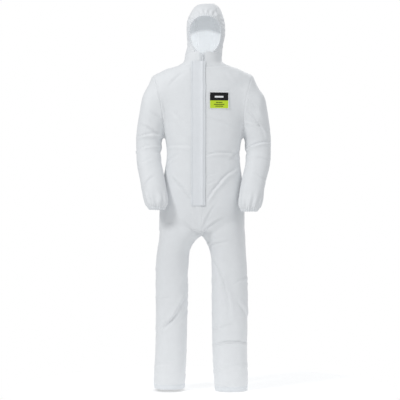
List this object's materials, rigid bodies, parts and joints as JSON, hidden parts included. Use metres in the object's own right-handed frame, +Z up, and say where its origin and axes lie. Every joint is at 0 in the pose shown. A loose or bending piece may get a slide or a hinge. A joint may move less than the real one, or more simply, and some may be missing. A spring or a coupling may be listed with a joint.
{
  "type": "chemical protective suit",
  "caption": "Hooded white disposable coverall with elastic face opening, cuffs and waist, open leg hems, front zip under a storm flap, and a chest label.",
  "frame": {"origin": "the middle of the shoulder line where the wearer's neck meets the shoulders, which holds the suit up", "axes": "+Z up, -Y the wearer's front, +X the wearer's left"},
  "size_m": [0.6298, 0.3136, 1.798],
  "materials": {
    "cloth": "matt white nonwoven cloth",
    "hem_cloth": "folded and stitched nonwoven cloth",
    "elastic": "cloth gathered over elastic",
    "zip_tape": "woven polyester",
    "zip_plastic": "white moulded plastic",
    "adhesive": "double-sided tape",
    "label_film": "printed film"
  },
  "bodies": {
    "torso": {"left_body_front": "cloth", "right_body_front": "cloth", "left_body_back": "cloth", "right_body_back": "cloth", "left_collar_front": "cloth", "right_collar_front": "cloth", "left_collar_back": "cloth", "right_collar_back": "cloth", "waist_elastic": "elastic", "size_label": "label_film", "chest_label": "label_film", "flap_seam": "hem_cloth", "left_zip_tape": "zip_tape", "right_zip_tape": "zip_tape", "left_zip_coil": "zip_plastic", "right_zip_coil": "zip_plastic", "left_zip_top_stop": "zip_plastic", "right_zip_top_stop": "zip_plastic", "zip_bottom_stop": "zip_plastic"},
    "hood": {"hood_centre_panel": "cloth", "left_hood_side": "cloth", "right_hood_side": "cloth", "hood_face_elastic": "elastic"},
    "flap": {"storm_flap": "cloth", "flap_adhesive": "adhesive"},
    "slider": {"zip_slider": "zip_plastic"},
    "pull": {"zip_pull": "zip_plastic"},
    "right_upper_arm": {"right_upper_sleeve": "cloth"},
    "right_forearm": {"right_lower_sleeve": "cloth", "right_cuff_elastic": "elastic"},
    "right_thigh": {"right_thigh_front": "cloth", "right_thigh_back": "cloth"},
    "right_shin": {"right_shin_front": "cloth", "right_shin_back": "cloth", "right_leg_hem": "hem_cloth"},
    "left_upper_arm": {"left_upper_sleeve": "cloth"},
    "left_forearm": {"left_lower_sleeve": "cloth", "left_cuff_elastic": "elastic"},
    "left_thigh": {"left_thigh_front": "cloth", "left_thigh_back": "cloth"},
    "left_shin": {"left_shin_front": "cloth", "left_shin_back": "cloth", "left_leg_hem": "hem_cloth"}
  },
  "joints": [
    {"name": "slider_run", "type": "slide", "parent": "torso", "child": "slider", "axis": [0, 0.0595, 0.9982], "range_m": [-0.6712, 0]},
    {"name": "pull_lift", "type": "hinge", "parent": "slider", "child": "pull", "pos_m": [0, -0.09425, 0.03721], "axis": [-1, 0, 0], "range_deg": [0, 170]},
    {"name": "flap_open", "type": "hinge", "parent": "torso", "child": "flap", "pos_m": [-0.04415, -0.11517, -0.31642], "axis": [0, -0.0595, -0.9982], "range_deg": [0, 150]},
    {"name": "hood_back", "type": "hinge", "parent": "torso", "child": "hood", "pos_m": [0, 0.0809, 0.0232], "axis": [-1, 0, 0], "range_deg": [0, 120]},
    {"name": "right_shoulder", "type": "hinge", "parent": "torso", "child": "right_upper_arm", "pos_m": [-0.233, 0.004, -0.0458], "axis": [0, 1, 0], "range_deg": [0, 80]},
    {"name": "right_elbow", "type": "hinge", "parent": "right_upper_arm", "child": "right_forearm", "pos_m": [-0.253, -0.0682, -0.372], "axis": [-1, 0, 0], "range_deg": [0, 100]},
    {"name": "right_hip", "type": "hinge", "parent": "torso", "child": "right_thigh", "pos_m": [-0.103, -0.116, -0.79], "axis": [-1, 0, 0], "range_deg": [0, 70]},
    {"name": "right_knee", "type": "hinge", "parent": "right_thigh", "child": "right_shin", "pos_m": [-0.135, 0.0834, -1.022], "axis": [1, 0, 0], "range_deg": [0, 110]},
    {"name": "left_shoulder", "type": "hinge", "parent": "torso", "child": "left_upper_arm", "pos_m": [0.233, 0.004, -0.0458], "axis": [0, -1, 0], "range_deg": [0, 80]},
    {"name": "left_elbow", "type": "hinge", "parent": "left_upper_arm", "child": "left_forearm", "pos_m": [0.253, -0.0682, -0.372], "axis": [-1, 0, 0], "range_deg": [0, 100]},
    {"name": "left_hip", "type": "hinge", "parent": "torso", "child": "left_thigh", "pos_m": [0.103, -0.116, -0.79], "axis": [-1, 0, 0], "range_deg": [0, 70]},
    {"name": "left_knee", "type": "hinge", "parent": "left_thigh", "child": "left_shin", "pos_m": [0.135, 0.0834, -1.022], "axis": [1, 0, 0], "range_deg": [0, 110]}
  ]
}
